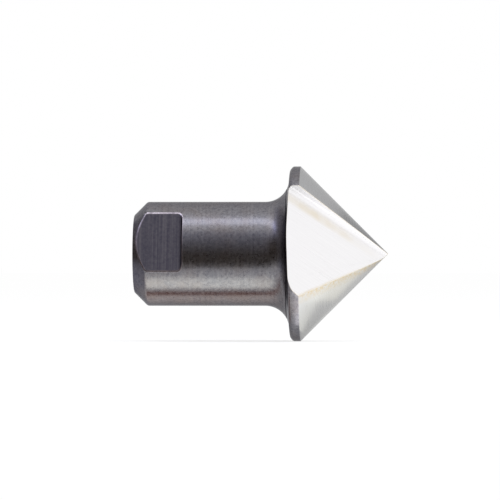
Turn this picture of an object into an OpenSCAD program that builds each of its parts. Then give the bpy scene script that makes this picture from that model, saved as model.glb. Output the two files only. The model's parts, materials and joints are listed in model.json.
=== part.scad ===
// Straight-shank live center: a fluted 90 degree point with a thin rim, turning in a short clamped shank
// that flares out behind the rim.
// The axis is X and the tip points to +X. The origin is on the axis where the straight shank ends.
// The clamping flat faces -Y, turned up a little towards +Z. Lengths are millimetres.

/* [Shank] */
// Diameter of the straight shank
shank_d = 19.05; // [18:0.05:26]
// Length of the straight shank, from its rear face to the start of the neck
shank_length = 24.54; // [22.6:0.02:32]
// Width of the 45 degree chamfer on the rear edge
rear_chamfer = 2.45; // [0.5:0.05:2.8]
// How deep the clamping flat is milled
flat_depth = 1.75; // [0.5:0.05:2.4]
// Length of the clamping flat from the rear face
flat_length = 9.1; // [5:0.1:14]
// How far the clamping flat is turned up from -Y
flat_clock = 16; // [0:0.5:90]
// Corner radius of the cutter that milled the flat
flat_corner_r = 0.8; // [0.3:0.1:1.5]
// Radius of the neck between shank and rim
neck_r = 3.8; // [2:0.05:5]
// How far behind the end of the neck the shank stops and the point starts
parting_setback = 0.4; // [0.3:0.05:1.2]
// Diameter of the nose that reaches into the point
nose_d = 17; // [16:0.1:18.4]
// Length of that nose
nose_length = 1.8; // [1:0.1:3]

/* [Point] */
// Diameter of the rim
rim_d = 32; // [29:0.5:44]
// Length of the full-diameter band of the rim
rim_band = 1.35; // [0.8:0.05:4]
// Length of the bevel on the rear edge of the rim
rim_bevel = 0.55; // [0.3:0.05:1.2]
// Slope of that bevel, measured from the axis
rim_bevel_angle = 50; // [20:1:60]
// Slope of the rim's rear face
rim_draft = 6; // [0:0.5:10]
// Least width of the flat that the neck leaves behind the rim
rim_flat = 0.9; // [0.5:0.05:2]
// Full angle of the point
point_angle = 90; // [75:1:100]

/* [Flutes of the point] */
// Number of ground flutes
flute_count = 2; // [1:1:2]
// Angle from the clamping flat up to the wall of the first flute
flute_clock = 35; // [0:1:90]
// Angle between the axis and the line where wall and floor meet
flute_line_angle = 41; // [36:0.5:43]
// Opening angle between wall and floor
flute_opening = 116.4; // [100:0.2:130]
// Radius of the corner between wall and floor
flute_corner_r = 1.5; // [0.5:0.1:2.5]
// How far behind the point's theoretical tip that line crosses the axis
flute_setback = 0.7; // [0.3:0.05:1.2]

/* [Stem of the point] */
// Diameter of the journal that runs in the needle bearing
journal_d = 10; // [9:0.1:11]
// Diameter of the rear stem
stem_d = 6; // [5:0.1:6.6]
// Length of stem behind the retaining ring
stem_tail = 0.6; // [0.4:0.05:1.5]

/* [Needle bearing] */
// Diameter of a needle roller
needle_d = 1.5; // [1.2:0.05:1.8]
// Number of needle rollers
needle_count = 14; // [10:1:16]
// Wall of the needle cage
needle_cage_t = 0.75; // [0.5:0.05:0.9]
// Wall of the drawn cup
cup_wall = 0.44; // [0.3:0.02:0.6]
// Length of the drawn cup
cup_length = 10; // [6:0.1:11.5]
// Gap that the cup's turned-in edges leave round the journal
cup_edge_gap = 0.3; // [0.15:0.05:0.5]

/* [Thrust bearing] */
// Diameter of a thrust ball
thrust_ball_d = 2.381; // [2:0.001:2.6]
// Number of thrust balls
thrust_ball_count = 9; // [6:1:10]
// Thickness of a thrust washer
thrust_washer_t = 1.5; // [1.1:0.05:2.5]
// Depth of the ball track in a thrust washer
thrust_track_depth = 0.33; // [0.15:0.01:0.5]
// Thickness of the thrust cage
thrust_cage_t = 0.9; // [0.5:0.05:1.2]

/* [Rear ball bearing] */
// Outside diameter of the rear bearing
rear_od = 12; // [11.4:0.1:13]
// Width of the rear bearing
rear_width = 4; // [3.5:0.1:6]
// Diameter of a rear bearing ball
rear_ball_d = 1.588; // [1.3:0.001:1.7]
// Number of rear bearing balls
rear_ball_count = 8; // [5:1:9]
// Depth of the ball track in a rear bearing ring
rear_track_depth = 0.3; // [0.15:0.01:0.4]
// Width of the rear bearing cage
rear_cage_width = 2.4; // [2.1:0.05:2.8]
// Thickness of a bearing shield
shield_t = 0.25; // [0.15:0.05:0.4]

/* [Seal and retention] */
// Width of the shaft seal
seal_width = 2; // [1.6:0.1:3]
// Sheet thickness of the seal's case
seal_sheet = 0.35; // [0.25:0.05:0.5]
// How far the seal sits inside the mouth of the nose
seal_recess = 0.3; // [0.1:0.05:1]
// Thickness of the retaining ring
ring_t = 0.7; // [0.5:0.05:1]
// Depth of the retaining ring's groove in the stem
ring_groove_depth = 0.15; // [0.1:0.01:0.3]
// Radial width of the retaining ring
ring_width = 1.1; // [0.8:0.05:1.3]
// Angle of the retaining ring's gap
ring_gap_angle = 32; // [20:1:40]
// Angle between the eyes of the retaining ring
ring_eye_angle = 64; // [56:1:80]
// Diameter of the hole in an eye
ring_eye_hole_d = 1.1; // [0.7:0.05:1.4]
// Thickness of the backing washer
backing_t = 0.4; // [0.2:0.05:0.8]
// Length of the end plug
plug_length = 3; // [1.8:0.1:4.5]
// How far the end plug sits inside the rear face
plug_recess = 0.2; // [0.1:0.05:1]
// Edge break on the end plug
plug_chamfer = 0.3; // [0.1:0.05:0.5]
// Section diameter of the round seal in the end plug's groove
plug_seal_d = 1; // [0.8:0.05:1.1]

/* [Edges] */
// Edge break on bearing rings, rollers, the stem's end and bore mouths
edge_break = 0.12; // [0.05:0.01:0.2]
// Radius of the grinding reliefs in the corners of the stem
relief_r = 0.25; // [0.15:0.05:0.4]

/* [Clearances] */
// Radial gap of a piece pressed onto or into its seat
seat_gap = 0.01; // [0.005:0.005:0.02]
// Gap between a rolling element and its tracks
roll_gap = 0.03; // [0.02:0.005:0.05]
// Gap between a rolling element and its cage
cage_gap = 0.08; // [0.05:0.01:0.12]
// Running gap between shank and point
parting_gap = 0.12; // [0.08:0.01:0.2]
// Running gap around the nose and between other turning and fixed pieces
running_gap = 0.2; // [0.12:0.01:0.3]

/* [Hidden] */
$fn = 96;
overcut = 1;

// Turn about the axis that brings a cut from its drawn side to the clamping flat's side
flat_turn = -90 - flat_clock;

shank_r = shank_d / 2;
rim_r = rim_d / 2;
journal_r = journal_d / 2;
stem_r = stem_d / 2;
rear_r = rear_od / 2;

// Radii of the needle bearing, from the journal outwards
needle_pitch_r = journal_r + roll_gap + needle_d / 2;
cup_track_r = journal_r + needle_d + 2 * roll_gap;
cup_r = cup_track_r + cup_wall;
bore_r = cup_r + seat_gap;
rear_bore_r = rear_r + seat_gap;
plug_r = rear_bore_r - seat_gap;
nose_r = nose_d / 2;
recess_r = nose_r + running_gap;
stem_hole_r = stem_r + running_gap;
groove_r = stem_r - ring_groove_depth;
seal_middle_r = (journal_r + bore_r) / 2;

// How far the needle cage and its windows stand in from the ends of the cup
cage_inset = cup_wall + cage_gap;
window_inset = 2 * cage_inset;

// Radii of the thrust bearing
thrust_pitch_r = (stem_hole_r + bore_r) / 2;
thrust_ball_r = thrust_ball_d / 2;
thrust_half_space = thrust_ball_r + roll_gap - thrust_track_depth;

// Radii of the rear bearing
rear_pitch_r = (stem_r + rear_r) / 2;
rear_ball_r = rear_ball_d / 2;
rear_shoulder = rear_ball_r + roll_gap - rear_track_depth;
inner_ring_r = rear_pitch_r - rear_shoulder;
outer_ring_bore_r = rear_pitch_r + rear_shoulder;

// The neck is an arc that leaves the shank at the origin. It ends at the slope of the rim's rear face and
// leaves a flat there, so the rim limits its radius. The parting plane cuts it near its end.
rim_rear_r = rim_r - rim_bevel * tan(rim_bevel_angle);
neck = min(neck_r, (rim_rear_r - shank_r - rim_flat) / (1 - sin(rim_draft)));
neck_end = neck * cos(rim_draft);
neck_end_r = neck_radius(neck_end);
head_front = neck_end - parting_setback;
point_rear = head_front + parting_gap;

// Stations of the point, from the rim to its theoretical tip
rim_rear = neck_end + (rim_rear_r - neck_end_r) * tan(rim_draft);
rim_front = rim_rear + rim_bevel + rim_band;
tip = rim_front + rim_r / tan(point_angle / 2);

// Stations of the front bearings, from the mouth of the nose back
nose_front = head_front + nose_length;
recess_floor = nose_front + running_gap;
seal_front = nose_front - seal_recess;
seal_rear = seal_front - seal_width;
cup_front = seal_rear - seat_gap;
cup_rear = cup_front - cup_length;
shoulder = cup_rear - running_gap;
thrust_middle = shoulder - thrust_washer_t - thrust_half_space;
web_front = thrust_middle - thrust_half_space - thrust_washer_t;

// Stations of the rear bearing, from the rear face forwards. What is left between the bores is the web.
shank_rear = -shank_length;
plug_rear = shank_rear + plug_recess;
plug_front = plug_rear + plug_length;
plug_middle = (plug_front + plug_rear) / 2;
stem_end = plug_front + running_gap;
ring_rear = stem_end + stem_tail;
ring_front = ring_rear + ring_t;
rear_bearing_back = ring_front + backing_t;
rear_middle = rear_bearing_back + rear_width / 2;
web_rear = rear_bearing_back + rear_width;

// Radius of the neck at a station
function neck_radius(station) = shank_r + neck - sqrt(neck * neck - station * station);

// Lays a shape that was drawn along Z onto the part's axis
module on_axis() {
    rotate([0, 90, 0]) children();
}

// Places copies round the axis at one radius
module around(count, radius) {
    for (i = [0 : count - 1])
        rotate(i * 360 / count) translate([radius, 0, 0]) children();
}

// Plain ring between two radii and two stations
module ring(inner, outer, from, to) {
    rotate_extrude() translate([inner, from]) square([outer - inner, to - from]);
}

// Ring between two radii and two stations, with its four edges broken
module broken_ring(inner, outer, from, to) {
    rotate_extrude() polygon([
        [inner + edge_break, from], [outer - edge_break, from], [outer, from + edge_break],
        [outer, to - edge_break], [outer - edge_break, to], [inner + edge_break, to],
        [inner, to - edge_break], [inner, from + edge_break]
    ]);
}

// Half section of drawn sheet in the front bore: a sleeve whose ends turn in with round corners
module drawn_section(edge_r, from, to, wall) {
    corner_r = cup_r - wall;
    length = to - from;
    difference() {
        union() {
            translate([edge_r, from]) square([corner_r - edge_r, length]);
            translate([edge_r, from + wall]) square([cup_r - edge_r, length - 2 * wall]);
            translate([corner_r, from + wall]) circle(wall);
            translate([corner_r, to - wall]) circle(wall);
        }
        translate([edge_r - overcut, from + wall])
            square([corner_r - edge_r + overcut, length - 2 * wall]);
    }
}

// Round of the neck, as the shape that a form tool turns away
module neck_round() {
    translate([shank_r + neck, 0]) circle(neck);
}

// Half section of the shank with its flared head, its nose and its stepped bore
module shank_section() {
    difference() {
        polygon([
            [rear_bore_r + edge_break, shank_rear], [shank_r - rear_chamfer, shank_rear],
            [shank_r, shank_rear + rear_chamfer], [shank_r, 0], [neck_radius(head_front), head_front],
            [nose_r, head_front], [nose_r, nose_front - edge_break], [nose_r - edge_break, nose_front],
            [bore_r + edge_break, nose_front], [bore_r, nose_front - edge_break],
            [bore_r, web_front], [stem_hole_r, web_front], [stem_hole_r, web_rear],
            [rear_bore_r, web_rear], [rear_bore_r, shank_rear + edge_break]
        ]);
        neck_round();
    }
}

// Path of the cutter that mills the clamping flat, with its rounded front corner
module flat_cut() {
    floor_x = shank_r - flat_depth;
    front = shank_rear + flat_length;
    depth = flat_depth + overcut;
    rotate([90, 0, 0]) linear_extrude(shank_d + 2 * overcut, center = true) {
        translate([floor_x, shank_rear - overcut])
            square([depth, flat_length + overcut - flat_corner_r]);
        translate([floor_x + flat_corner_r, shank_rear - overcut])
            square([depth - flat_corner_r, flat_length + overcut]);
        translate([floor_x + flat_corner_r, front - flat_corner_r]) circle(flat_corner_r);
    }
}

module shank_body() {
    color("#2b292b") on_axis() difference() {
        rotate_extrude() shank_section();
        rotate(flat_turn) flat_cut();
    }
}

// Disc that closes the rear bore, with a groove for its seal
module end_plug() {
    floor_r = plug_r - plug_seal_d - seat_gap;
    groove_width = plug_seal_d + 2 * cage_gap;
    color("#2b292b") on_axis() rotate_extrude() difference() {
        polygon([
            [0, plug_rear], [plug_r - plug_chamfer, plug_rear], [plug_r, plug_rear + plug_chamfer],
            [plug_r, plug_front - plug_chamfer], [plug_r - plug_chamfer, plug_front], [0, plug_front]
        ]);
        translate([floor_r, plug_middle - groove_width / 2])
            square([plug_r - floor_r + overcut, groove_width]);
    }
}

module plug_seal() {
    section_r = plug_seal_d / 2;
    color("#242424") on_axis() rotate_extrude()
        translate([plug_r - section_r, plug_middle]) circle(section_r);
}

// Half section of the point with its rim, recess, journal, stem, retaining groove and grinding reliefs
module point_section() {
    difference() {
        polygon([
            [0, tip], [rim_r, rim_front], [rim_r, rim_rear + rim_bevel],
            [rim_rear_r, rim_rear], [neck_end_r, neck_end],
            [neck_radius(point_rear), point_rear], [recess_r, point_rear], [recess_r, recess_floor],
            [journal_r, recess_floor], [journal_r, shoulder], [stem_r, shoulder],
            [stem_r, ring_front], [groove_r, ring_front], [groove_r, ring_rear],
            [stem_r, ring_rear], [stem_r, stem_end + edge_break], [stem_r - edge_break, stem_end],
            [0, stem_end]
        ]);
        neck_round();
        translate([journal_r, recess_floor]) circle(relief_r);
        translate([stem_r, shoulder]) circle(relief_r);
    }
}

// Path of the grinding wheel: a straight wall and a sloping floor with a round corner between them
module flute_cut() {
    reach = 2 * rim_d;
    tangent_run = flute_corner_r / tan(flute_opening / 2);
    wall_way = [-1, 0];
    floor_way = [-cos(flute_opening), sin(flute_opening)];
    translate([0, 0, tip - flute_setback]) rotate([0, 180 - flute_line_angle, 0])
        translate([0, 0, -rim_r]) linear_extrude(reach) {
            polygon([
                wall_way * tangent_run, wall_way * reach, (wall_way + floor_way) * reach,
                floor_way * reach, floor_way * tangent_run
            ]);
            translate([-tangent_run, flute_corner_r]) circle(flute_corner_r);
        }
}

module center_point() {
    color("#b9b8ba") on_axis() difference() {
        rotate_extrude() point_section();
        for (i = [0 : flute_count - 1])
            rotate(flat_turn - flute_clock + i * 360 / flute_count) flute_cut();
    }
}

// Sheet-metal ring of the shaft seal, turned in at its front
module seal_case() {
    color("#77787b") on_axis() rotate_extrude() intersection() {
        drawn_section(seal_middle_r, seal_rear - 2 * seal_sheet, seal_front, seal_sheet);
        translate([0, seal_rear]) square([bore_r, seal_width]);
    }
}

// Rubber of the shaft seal: a body in the case and a lip that leans to the journal
module seal_lip() {
    body_r = cup_r - seal_sheet - seat_gap;
    body_front = seal_front - seal_sheet - seat_gap;
    body_rear = (seal_rear + body_front) / 2;
    lip_r = journal_r + roll_gap;
    color("#242424") on_axis() rotate_extrude() polygon([
        [seal_middle_r, body_front], [body_r, body_front], [body_r, body_rear],
        [lip_r + seal_sheet, body_rear - seal_sheet], [lip_r, body_rear - seal_sheet],
        [lip_r, body_rear]
    ]);
}

// Drawn cup with both edges turned in
module needle_cup() {
    color("#8f9092") on_axis() rotate_extrude()
        drawn_section(journal_r + cup_edge_gap, cup_rear, cup_front, cup_wall);
}

// Rollers with their end edges broken
module needle_rollers() {
    radius = needle_d / 2;
    from = cup_rear + window_inset + cage_gap;
    to = cup_front - window_inset - cage_gap;
    color("#c9cacc") on_axis() around(needle_count, needle_pitch_r) rotate_extrude() polygon([
        [0, from], [radius - edge_break, from], [radius, from + edge_break],
        [radius, to - edge_break], [radius - edge_break, to], [0, to]
    ]);
}

// Sleeve with one window for each roller
module needle_cage() {
    inner = needle_pitch_r - needle_cage_t / 2;
    outer = needle_pitch_r + needle_cage_t / 2;
    color("#6d6a64") on_axis() difference() {
        ring(inner, outer, cup_rear + cage_inset, cup_front - cage_inset);
        translate([0, 0, cup_rear + window_inset]) around(needle_count, needle_pitch_r)
            cylinder(r = needle_d / 2 + cage_gap, h = cup_length - 2 * window_inset);
    }
}

// Track of a ball set, as a round groove
module ball_track(pitch_r, ball_r, middle) {
    rotate_extrude() translate([pitch_r, middle]) circle(ball_r + roll_gap);
}

// Washer that turns with the stem
module thrust_shaft_washer() {
    color("#a9abae") on_axis() difference() {
        broken_ring(stem_r + seat_gap, bore_r - running_gap, thrust_middle + thrust_half_space, shoulder);
        ball_track(thrust_pitch_r, thrust_ball_r, thrust_middle);
    }
}

// Washer that stands on the web
module thrust_housing_washer() {
    color("#a9abae") on_axis() difference() {
        broken_ring(stem_hole_r, cup_r, web_front, thrust_middle - thrust_half_space);
        ball_track(thrust_pitch_r, thrust_ball_r, thrust_middle);
    }
}

module thrust_balls() {
    color("#d2d3d5") on_axis() translate([0, 0, thrust_middle])
        around(thrust_ball_count, thrust_pitch_r) sphere(thrust_ball_r);
}

// Flat brass ring with one hole for each ball
module thrust_cage() {
    half = thrust_cage_t / 2;
    inner = stem_hole_r + running_gap;
    outer = bore_r - running_gap;
    color("#b08d3f") on_axis() difference() {
        broken_ring(inner, outer, thrust_middle - half, thrust_middle + half);
        translate([0, 0, thrust_middle - thrust_cage_t]) around(thrust_ball_count, thrust_pitch_r)
            cylinder(r = thrust_ball_r + cage_gap, h = 2 * thrust_cage_t);
    }
}

module rear_outer_ring() {
    color("#a9abae") on_axis() difference() {
        broken_ring(outer_ring_bore_r, rear_r, rear_bearing_back, web_rear);
        ball_track(rear_pitch_r, rear_ball_r, rear_middle);
    }
}

module rear_inner_ring() {
    color("#a9abae") on_axis() difference() {
        broken_ring(stem_r + seat_gap, inner_ring_r, rear_bearing_back, web_rear);
        ball_track(rear_pitch_r, rear_ball_r, rear_middle);
    }
}

module rear_balls() {
    color("#d2d3d5") on_axis() translate([0, 0, rear_middle])
        around(rear_ball_count, rear_pitch_r) sphere(rear_ball_r);
}

// Narrow ring with one drilled pocket for each ball
module rear_cage() {
    half = rear_cage_width / 2;
    cage_inner = inner_ring_r + cage_gap;
    cage_outer = outer_ring_bore_r - cage_gap;
    color("#6d6a64") on_axis() difference() {
        ring(cage_inner, cage_outer, rear_middle - half, rear_middle + half);
        translate([0, 0, rear_middle]) around(rear_ball_count, rear_pitch_r) rotate([0, 90, 0])
            cylinder(r = rear_ball_r + cage_gap, h = rear_ball_d, center = true);
    }
}

// Thin cover pressed into one side of the outer ring
module shield(face, inward) {
    from = face + inward * cage_gap;
    to = from + inward * shield_t;
    ring(inner_ring_r + cage_gap, outer_ring_bore_r - seat_gap, min(from, to), max(from, to));
}

module rear_front_shield() {
    color("#8f9092") on_axis() shield(web_rear, -1);
}

module rear_back_shield() {
    color("#8f9092") on_axis() shield(rear_bearing_back, 1);
}

module backing_washer() {
    color("#8f9092") on_axis() ring(stem_r + seat_gap, inner_ring_r, ring_front, rear_bearing_back);
}

// Open spring ring with two eyes beside its gap
module retaining_ring() {
    inner = groove_r + seat_gap;
    eye_reach = inner + ring_width;
    gap_reach = 2 * eye_reach;
    gap_half = gap_reach * tan(ring_gap_angle / 2);
    color("#4a4a4d") on_axis() translate([0, 0, ring_rear]) linear_extrude(ring_t) difference() {
        union() {
            circle(inner + ring_width);
            for (side = [-1, 1])
                rotate(side * ring_eye_angle / 2) translate([eye_reach, 0]) circle(ring_width);
        }
        circle(inner);
        polygon([[0, 0], [gap_reach, -gap_half], [gap_reach, gap_half]]);
        for (side = [-1, 1])
            rotate(side * ring_eye_angle / 2) translate([eye_reach, 0]) circle(d = ring_eye_hole_d);
    }
}

shank_body();
end_plug();
plug_seal();
center_point();
seal_case();
seal_lip();
needle_cup();
needle_cage();
needle_rollers();
thrust_shaft_washer();
thrust_cage();
thrust_balls();
thrust_housing_washer();
rear_outer_ring();
rear_inner_ring();
rear_cage();
rear_balls();
rear_front_shield();
rear_back_shield();
backing_washer();
retaining_ring();
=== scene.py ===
# %% [markdown]
# # A straight-shank live center
# A live center holds the free end of a workpiece in a lathe: its point sits in the work and turns with it,
# while its shank stays clamped. This one has a short dark shank that flares out behind a thin rim, and a
# 90 degree point with two ground flutes. The CAD model gives the places and sizes, and this lesson gives
# the two large pieces their softened edges and every piece its finish.

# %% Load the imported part
import json
import math

import bmesh
import bpy
from mathutils import Euler, Matrix, Vector


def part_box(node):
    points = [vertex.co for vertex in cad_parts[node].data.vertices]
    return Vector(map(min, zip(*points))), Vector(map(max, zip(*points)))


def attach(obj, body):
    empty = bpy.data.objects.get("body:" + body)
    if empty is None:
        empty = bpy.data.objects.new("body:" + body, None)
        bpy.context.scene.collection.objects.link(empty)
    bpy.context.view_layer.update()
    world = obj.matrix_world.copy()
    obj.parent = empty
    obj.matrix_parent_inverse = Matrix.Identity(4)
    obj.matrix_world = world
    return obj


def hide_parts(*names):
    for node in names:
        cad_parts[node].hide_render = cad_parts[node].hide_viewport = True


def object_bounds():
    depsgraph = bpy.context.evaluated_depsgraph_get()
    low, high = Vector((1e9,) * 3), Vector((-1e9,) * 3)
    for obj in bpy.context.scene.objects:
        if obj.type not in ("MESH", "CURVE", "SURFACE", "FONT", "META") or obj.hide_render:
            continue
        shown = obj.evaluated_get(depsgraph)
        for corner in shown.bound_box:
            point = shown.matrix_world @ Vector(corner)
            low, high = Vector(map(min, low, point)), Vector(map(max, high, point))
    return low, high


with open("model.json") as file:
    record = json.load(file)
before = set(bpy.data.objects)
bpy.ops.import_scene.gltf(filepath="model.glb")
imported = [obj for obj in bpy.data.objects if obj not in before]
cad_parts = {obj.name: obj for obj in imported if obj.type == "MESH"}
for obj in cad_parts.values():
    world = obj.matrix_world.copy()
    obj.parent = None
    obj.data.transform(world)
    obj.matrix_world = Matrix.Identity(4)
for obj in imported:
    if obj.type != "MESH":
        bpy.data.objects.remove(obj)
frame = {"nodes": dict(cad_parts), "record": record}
cad_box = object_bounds()
MM = 0.001
print("CAD nodes:", len(frame["nodes"]))

# %% [markdown]
# ## How the finishes are made
# Every finish is a small node tree. One function turns a colour as a designer writes it into the linear
# values that Blender takes, one starts an empty finish, and one adds a node with its settings and links.
# The finishes come first, because the cutters that shape the pieces carry a finish with them.

# %% Colours and nodes
# A Mix node's sockets by number: its factor, its two numbers, its two colours and the mixed colour
MIX_FACTOR, MIX_LOW, MIX_HIGH, MIX_A, MIX_B, MIX_OUT = 0, 2, 3, 6, 7, 2
# Most of a noise lies in this range.
NOISE_RANGE = {"From Min": 0.3, "From Max": 0.7}


def linear(hex_colour):
    """Turns an sRGB hex colour into the linear values that Blender's sockets take."""
    values = [int(hex_colour[i:i + 2], 16) / 255 for i in (1, 3, 5)]
    return [*(v / 12.92 if v <= 0.04045 else ((v + 0.055) / 1.055) ** 2.4 for v in values), 1]


def empty_finish(name):
    """Starts a material with no nodes."""
    material = bpy.data.materials.new(name)
    material.use_nodes = True
    material.node_tree.nodes.clear()
    return material


def add(material, kind, inputs=None, **settings):
    """Adds a node; each input is a value or the output of another node."""
    node = material.node_tree.nodes.new(kind)
    for key, value in settings.items():
        setattr(node, key, value)
    for key, value in (inputs or {}).items():
        if isinstance(value, bpy.types.NodeSocket):
            material.node_tree.links.new(value, node.inputs[key])
        else:
            node.inputs[key].default_value = value
    return node


# %% [markdown]
# ## Black oxide on turned steel
# The shank and the rim are hardened steel that was turned, ground and then blackened in a hot salt bath.
# The oxide is thin, so the steel under it still shines: the eye sees a satin dark grey metal with a brown
# or violet cast, a fine even speckle of oxide crystals, and a trace of the rings where the tool went round.
# It is made as a metal with a dark colour, because a black paint would show white highlights and no depth.
# A fine noise draws the speckle, noise that is squeezed along the axis draws the rings, and a large noise
# shifts the colour, to a warmer grey in some patches and to a cooler one in others.

# %% Marks in the black oxide
black_oxide = empty_finish("black_oxide_steel")
place = add(black_oxide, "ShaderNodeTexCoord").outputs["Object"]
# The rings are about 0.1 mm apart on the real part; they are drawn at 0.3 mm so that they show.
ring_space = add(black_oxide, "ShaderNodeMapping", {
    "Vector": place, "Scale": (1 / (0.3 * MM), 1 / (30 * MM), 1 / (30 * MM))}).outputs["Vector"]
rings = add(black_oxide, "ShaderNodeTexNoise", {
    "Vector": ring_space, "Scale": 1, "Detail": 3, "Roughness": 0.6}).outputs["Fac"]
# The crystals are a few hundredths of a millimetre; they are drawn at 0.5 mm so that they show.
speckle = add(black_oxide, "ShaderNodeTexNoise", {
    "Vector": place, "Scale": 1 / (0.5 * MM), "Detail": 3, "Roughness": 0.7}).outputs["Fac"]
ring_weight = 0.35
surface = add(black_oxide, "ShaderNodeMath", {
    0: rings, 1: ring_weight, 2: speckle}, operation="MULTIPLY_ADD").outputs[0]
# The bath works unevenly, in patches of a few millimetres.
patches = add(black_oxide, "ShaderNodeTexNoise", {
    "Vector": place, "Scale": 1 / (6 * MM), "Detail": 5, "Roughness": 0.7}).outputs["Fac"]
print("rings, speckle and patches for", black_oxide.name)

# %% Black oxide
surface_range = {"From Min": 0.45, "From Max": 0.9}
surface_share = add(black_oxide, "ShaderNodeMapRange", {"Value": surface, **surface_range})
surface_tone = add(black_oxide, "ShaderNodeMix", {
    MIX_FACTOR: surface_share.outputs["Result"], MIX_A: linear("#66646a"), MIX_B: linear("#8a888b")},
    data_type="RGBA")
warm_share = add(black_oxide, "ShaderNodeMapRange", {
    "Value": patches, "From Min": 0.45, "From Max": 0.7, "To Min": 0, "To Max": 0.4})
cool_share = add(black_oxide, "ShaderNodeMapRange", {
    "Value": patches, "From Min": 0.45, "From Max": 0.25, "To Min": 0, "To Max": 0.35})
oxide_tone = add(black_oxide, "ShaderNodeMix", {
    MIX_FACTOR: warm_share.outputs["Result"], MIX_A: surface_tone.outputs[MIX_OUT],
    MIX_B: linear("#7d726d")}, data_type="RGBA")
oxide_tone = add(black_oxide, "ShaderNodeMix", {
    MIX_FACTOR: cool_share.outputs["Result"], MIX_A: oxide_tone.outputs[MIX_OUT],
    MIX_B: linear("#74767e")}, data_type="RGBA")
satin = add(black_oxide, "ShaderNodeMapRange", {
    "Value": surface, **surface_range, "To Min": 0.25, "To Max": 0.33})
relief = add(black_oxide, "ShaderNodeBump", {"Height": surface, "Strength": 0.04, "Distance": 0.02 * MM})
shader = add(black_oxide, "ShaderNodeBsdfPrincipled", {
    "Base Color": oxide_tone.outputs[MIX_OUT], "Roughness": satin.outputs["Result"],
    "Normal": relief.outputs["Normal"], "Metallic": 1, "Specular Tint": (0.5, 0.5, 0.51, 1)})
add(black_oxide, "ShaderNodeOutputMaterial", {"Surface": shader.outputs["BSDF"]})
print("finish:", black_oxide.name)

# %% [markdown]
# ## The milled flat
# The clamping flat was milled before the bath, so it has the same oxide over a coarser surface. The cutter
# left faint streaks across the flat under the oxide's speckle. They are drawn like the rings, but they stay
# straight because they lie on a plane, and the flat looks a little bluer and more matt than the turned wall.

# %% Milled black oxide
milled_oxide = empty_finish("milled_black_oxide_steel")
place = add(milled_oxide, "ShaderNodeTexCoord").outputs["Object"]
# Feed marks of an end mill are about 0.15 mm apart; they are drawn at 0.3 mm so that they show.
streak_space = add(milled_oxide, "ShaderNodeMapping", {
    "Vector": place, "Scale": (1 / (0.3 * MM), 1 / (25 * MM), 1 / (25 * MM))}).outputs["Vector"]
streaks = add(milled_oxide, "ShaderNodeTexNoise", {
    "Vector": streak_space, "Scale": 1, "Detail": 2, "Roughness": 0.5}).outputs["Fac"]
speckle = add(milled_oxide, "ShaderNodeTexNoise", {
    "Vector": place, "Scale": 1 / (0.5 * MM), "Detail": 3, "Roughness": 0.7}).outputs["Fac"]
speckle_weight = 0.8
surface = add(milled_oxide, "ShaderNodeMath", {
    0: speckle, 1: speckle_weight, 2: streaks}, operation="MULTIPLY_ADD").outputs[0]
surface_range = {"From Min": 0.6, "From Max": 1.2}
surface_share = add(milled_oxide, "ShaderNodeMapRange", {"Value": surface, **surface_range})
surface_tone = add(milled_oxide, "ShaderNodeMix", {
    MIX_FACTOR: surface_share.outputs["Result"], MIX_A: linear("#5c5a66"), MIX_B: linear("#807c80")},
    data_type="RGBA")
matt = add(milled_oxide, "ShaderNodeMapRange", {
    "Value": surface, **surface_range, "To Min": 0.34, "To Max": 0.44})
relief = add(milled_oxide, "ShaderNodeBump", {"Height": surface, "Strength": 0.1, "Distance": 0.02 * MM})
shader = add(milled_oxide, "ShaderNodeBsdfPrincipled", {
    "Base Color": surface_tone.outputs[MIX_OUT], "Roughness": matt.outputs["Result"],
    "Normal": relief.outputs["Normal"], "Metallic": 1, "Specular Tint": (0.35, 0.35, 0.37, 1)})
add(milled_oxide, "ShaderNodeOutputMaterial", {"Surface": shader.outputs["BSDF"]})
print("finish:", milled_oxide.name)

# %% [markdown]
# ## Worn edges
# Oxide wears thin first where the part is handled and clamped, along its edges. They are smoother there and
# a little lighter, with a pinkish cast, and more so here and there. It is a finish of its own that the bevels
# carry, so the line follows the real edges and not a guess from the shading.

# %% Worn edges
worn_edge = empty_finish("worn_edge_steel")
place = add(worn_edge, "ShaderNodeTexCoord").outputs["Object"]
rubbed = add(worn_edge, "ShaderNodeTexNoise", {
    "Vector": place, "Scale": 1 / (1.5 * MM), "Detail": 3, "Roughness": 0.6}).outputs["Fac"]
bare_share = add(worn_edge, "ShaderNodeMapRange", {"Value": rubbed, "From Min": 0.3, "From Max": 0.55})
edge_tone = add(worn_edge, "ShaderNodeMix", {
    MIX_FACTOR: bare_share.outputs["Result"], MIX_A: linear("#79727a"), MIX_B: linear("#aea6ac")},
    data_type="RGBA")
edge_gloss = add(worn_edge, "ShaderNodeMapRange", {
    "Value": rubbed, **NOISE_RANGE, "To Min": 0.38, "To Max": 0.28})
shader = add(worn_edge, "ShaderNodeBsdfPrincipled", {
    "Base Color": edge_tone.outputs[MIX_OUT], "Roughness": edge_gloss.outputs["Result"], "Metallic": 1})
add(worn_edge, "ShaderNodeOutputMaterial", {"Surface": shader.outputs["BSDF"]})
print("finish:", worn_edge.name)

# %% [markdown]
# ## Where the flutes lie
# Two finishes follow the flutes: a flute's marks run along the line where its wall and floor meet, and
# tarnish gathers along its borders. The wheel that grinds a flute is later tilted, turned round the axis and
# laid along it, so the same three turns give these directions. The flutes are alike, half a turn apart, so a
# pattern can fold the second one onto the first by turning the sign of Y and Z.

# %% Directions of a flute
flat_clock = 16
flute_clock = 35
flute_line_angle = 41
flute_opening = math.radians(116.4)
flute_setback = 0.7 * MM
floor_way = Vector((-math.cos(flute_opening), math.sin(flute_opening), 0))
wheel_turns = [(0, 180 - flute_line_angle, 0), (0, 0, -90 - flat_clock - flute_clock), (0, 90, 0)]

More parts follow.
